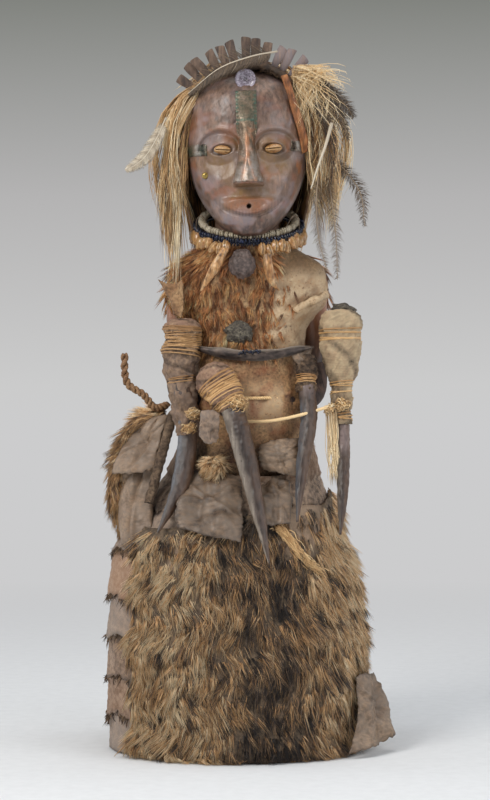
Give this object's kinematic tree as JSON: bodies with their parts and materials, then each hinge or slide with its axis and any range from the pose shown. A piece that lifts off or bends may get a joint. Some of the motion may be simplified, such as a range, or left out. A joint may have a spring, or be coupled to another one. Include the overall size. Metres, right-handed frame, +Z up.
{
  "type": "nkisi power figure",
  "caption": "Standing carved wooden power figure with a crest, fibre hair, shell necklace, tied horns, hide, fur skirt and cloth.",
  "frame": {"origin": "middle of the round base's underside, on the floor", "axes": "+Z up through the figure, the figure faces -Y, +X is to the viewer's right as seen from the front"},
  "size_m": [0.3664, 0.3064, 0.9013],
  "materials": {
    "wood": "dark carved wood, oiled and rubbed to a low gloss, ochre in the hollows",
    "crest": "dusty dry split wood",
    "raffia": "loose tan plant fibre",
    "feather_dark": "dark brown feather",
    "feather_white": "off-white feather",
    "leather": "orange-brown leather",
    "copper": "aged copper sheet with green edges",
    "brass": "worn brass",
    "iron": "dark forged iron",
    "shell": "gold-brown polished shell",
    "disc": "pale violet shell disc with a dark middle",
    "bead_white": "off-white beads",
    "bead_blue": "dark blue glass beads",
    "tooth": "yellowed bone and tooth",
    "resin": "dull crusted earth and resin",
    "hide": "orange-brown hide with lying fur, bare in places",
    "horn": "grey-black antelope horn",
    "wrap": "bundled cloth and hide bound with twine",
    "pelt": "spotted golden-brown fur",
    "cloth": "frayed brown woven raffia cloth"
  },
  "bodies": {
    "root": {"figure": "wood", "chest_hide": "hide", "cloth_skirt": "cloth", "pelt_skirt": "pelt", "copper_brow_strip": "copper", "temple_strip_left": "copper", "temple_strip_right": "copper", "cowrie_eye_left": "shell", "cowrie_eye_right": "shell", "cheek_tack": "brass", "forehead_disc": "disc", "headband": "hide", "crest_blade_01": "crest", "crest_blade_02": "crest", "crest_blade_03": "crest", "crest_blade_04": "crest", "crest_blade_05": "crest", "crest_blade_06": "crest", "crest_blade_07": "crest", "crest_blade_08": "crest", "crest_blade_09": "crest", "crest_blade_10": "crest", "crest_blade_11": "crest", "crest_blade_12": "crest", "crest_blade_13": "crest", "throat_pouch": "resin", "white_bead_collar": "bead_white", "blue_bead_collar": "bead_blue", "shell_string_left": "shell", "shell_string_right": "shell", "bone_point": "tooth", "curved_tooth": "tooth", "brow_strap": "leather", "back_locks": "raffia", "left_lock": "raffia", "right_lock": "raffia", "white_feather": "feather_white", "brow_feather": "feather_dark", "long_feather": "feather_dark", "short_feather": "feather_dark", "curled_feather": "feather_dark", "horn_left": "horn", "horn_centre": "horn", "horn_right": "horn", "horn_far_right": "horn", "wrap_left": "wrap", "wrap_centre": "wrap", "wrap_far_right": "wrap", "belly_charge": "resin", "iron_blade": "iron", "wrapped_stick": "wrap", "hide_twist": "hide", "tie_cord": "raffia", "arm_thong": "leather", "belly_twine": "raffia", "front_flap": "cloth", "belly_flap": "cloth", "side_flap": "cloth", "skirt_corner": "cloth", "fur_tail": "pelt"}
  },
  "joints": []
}
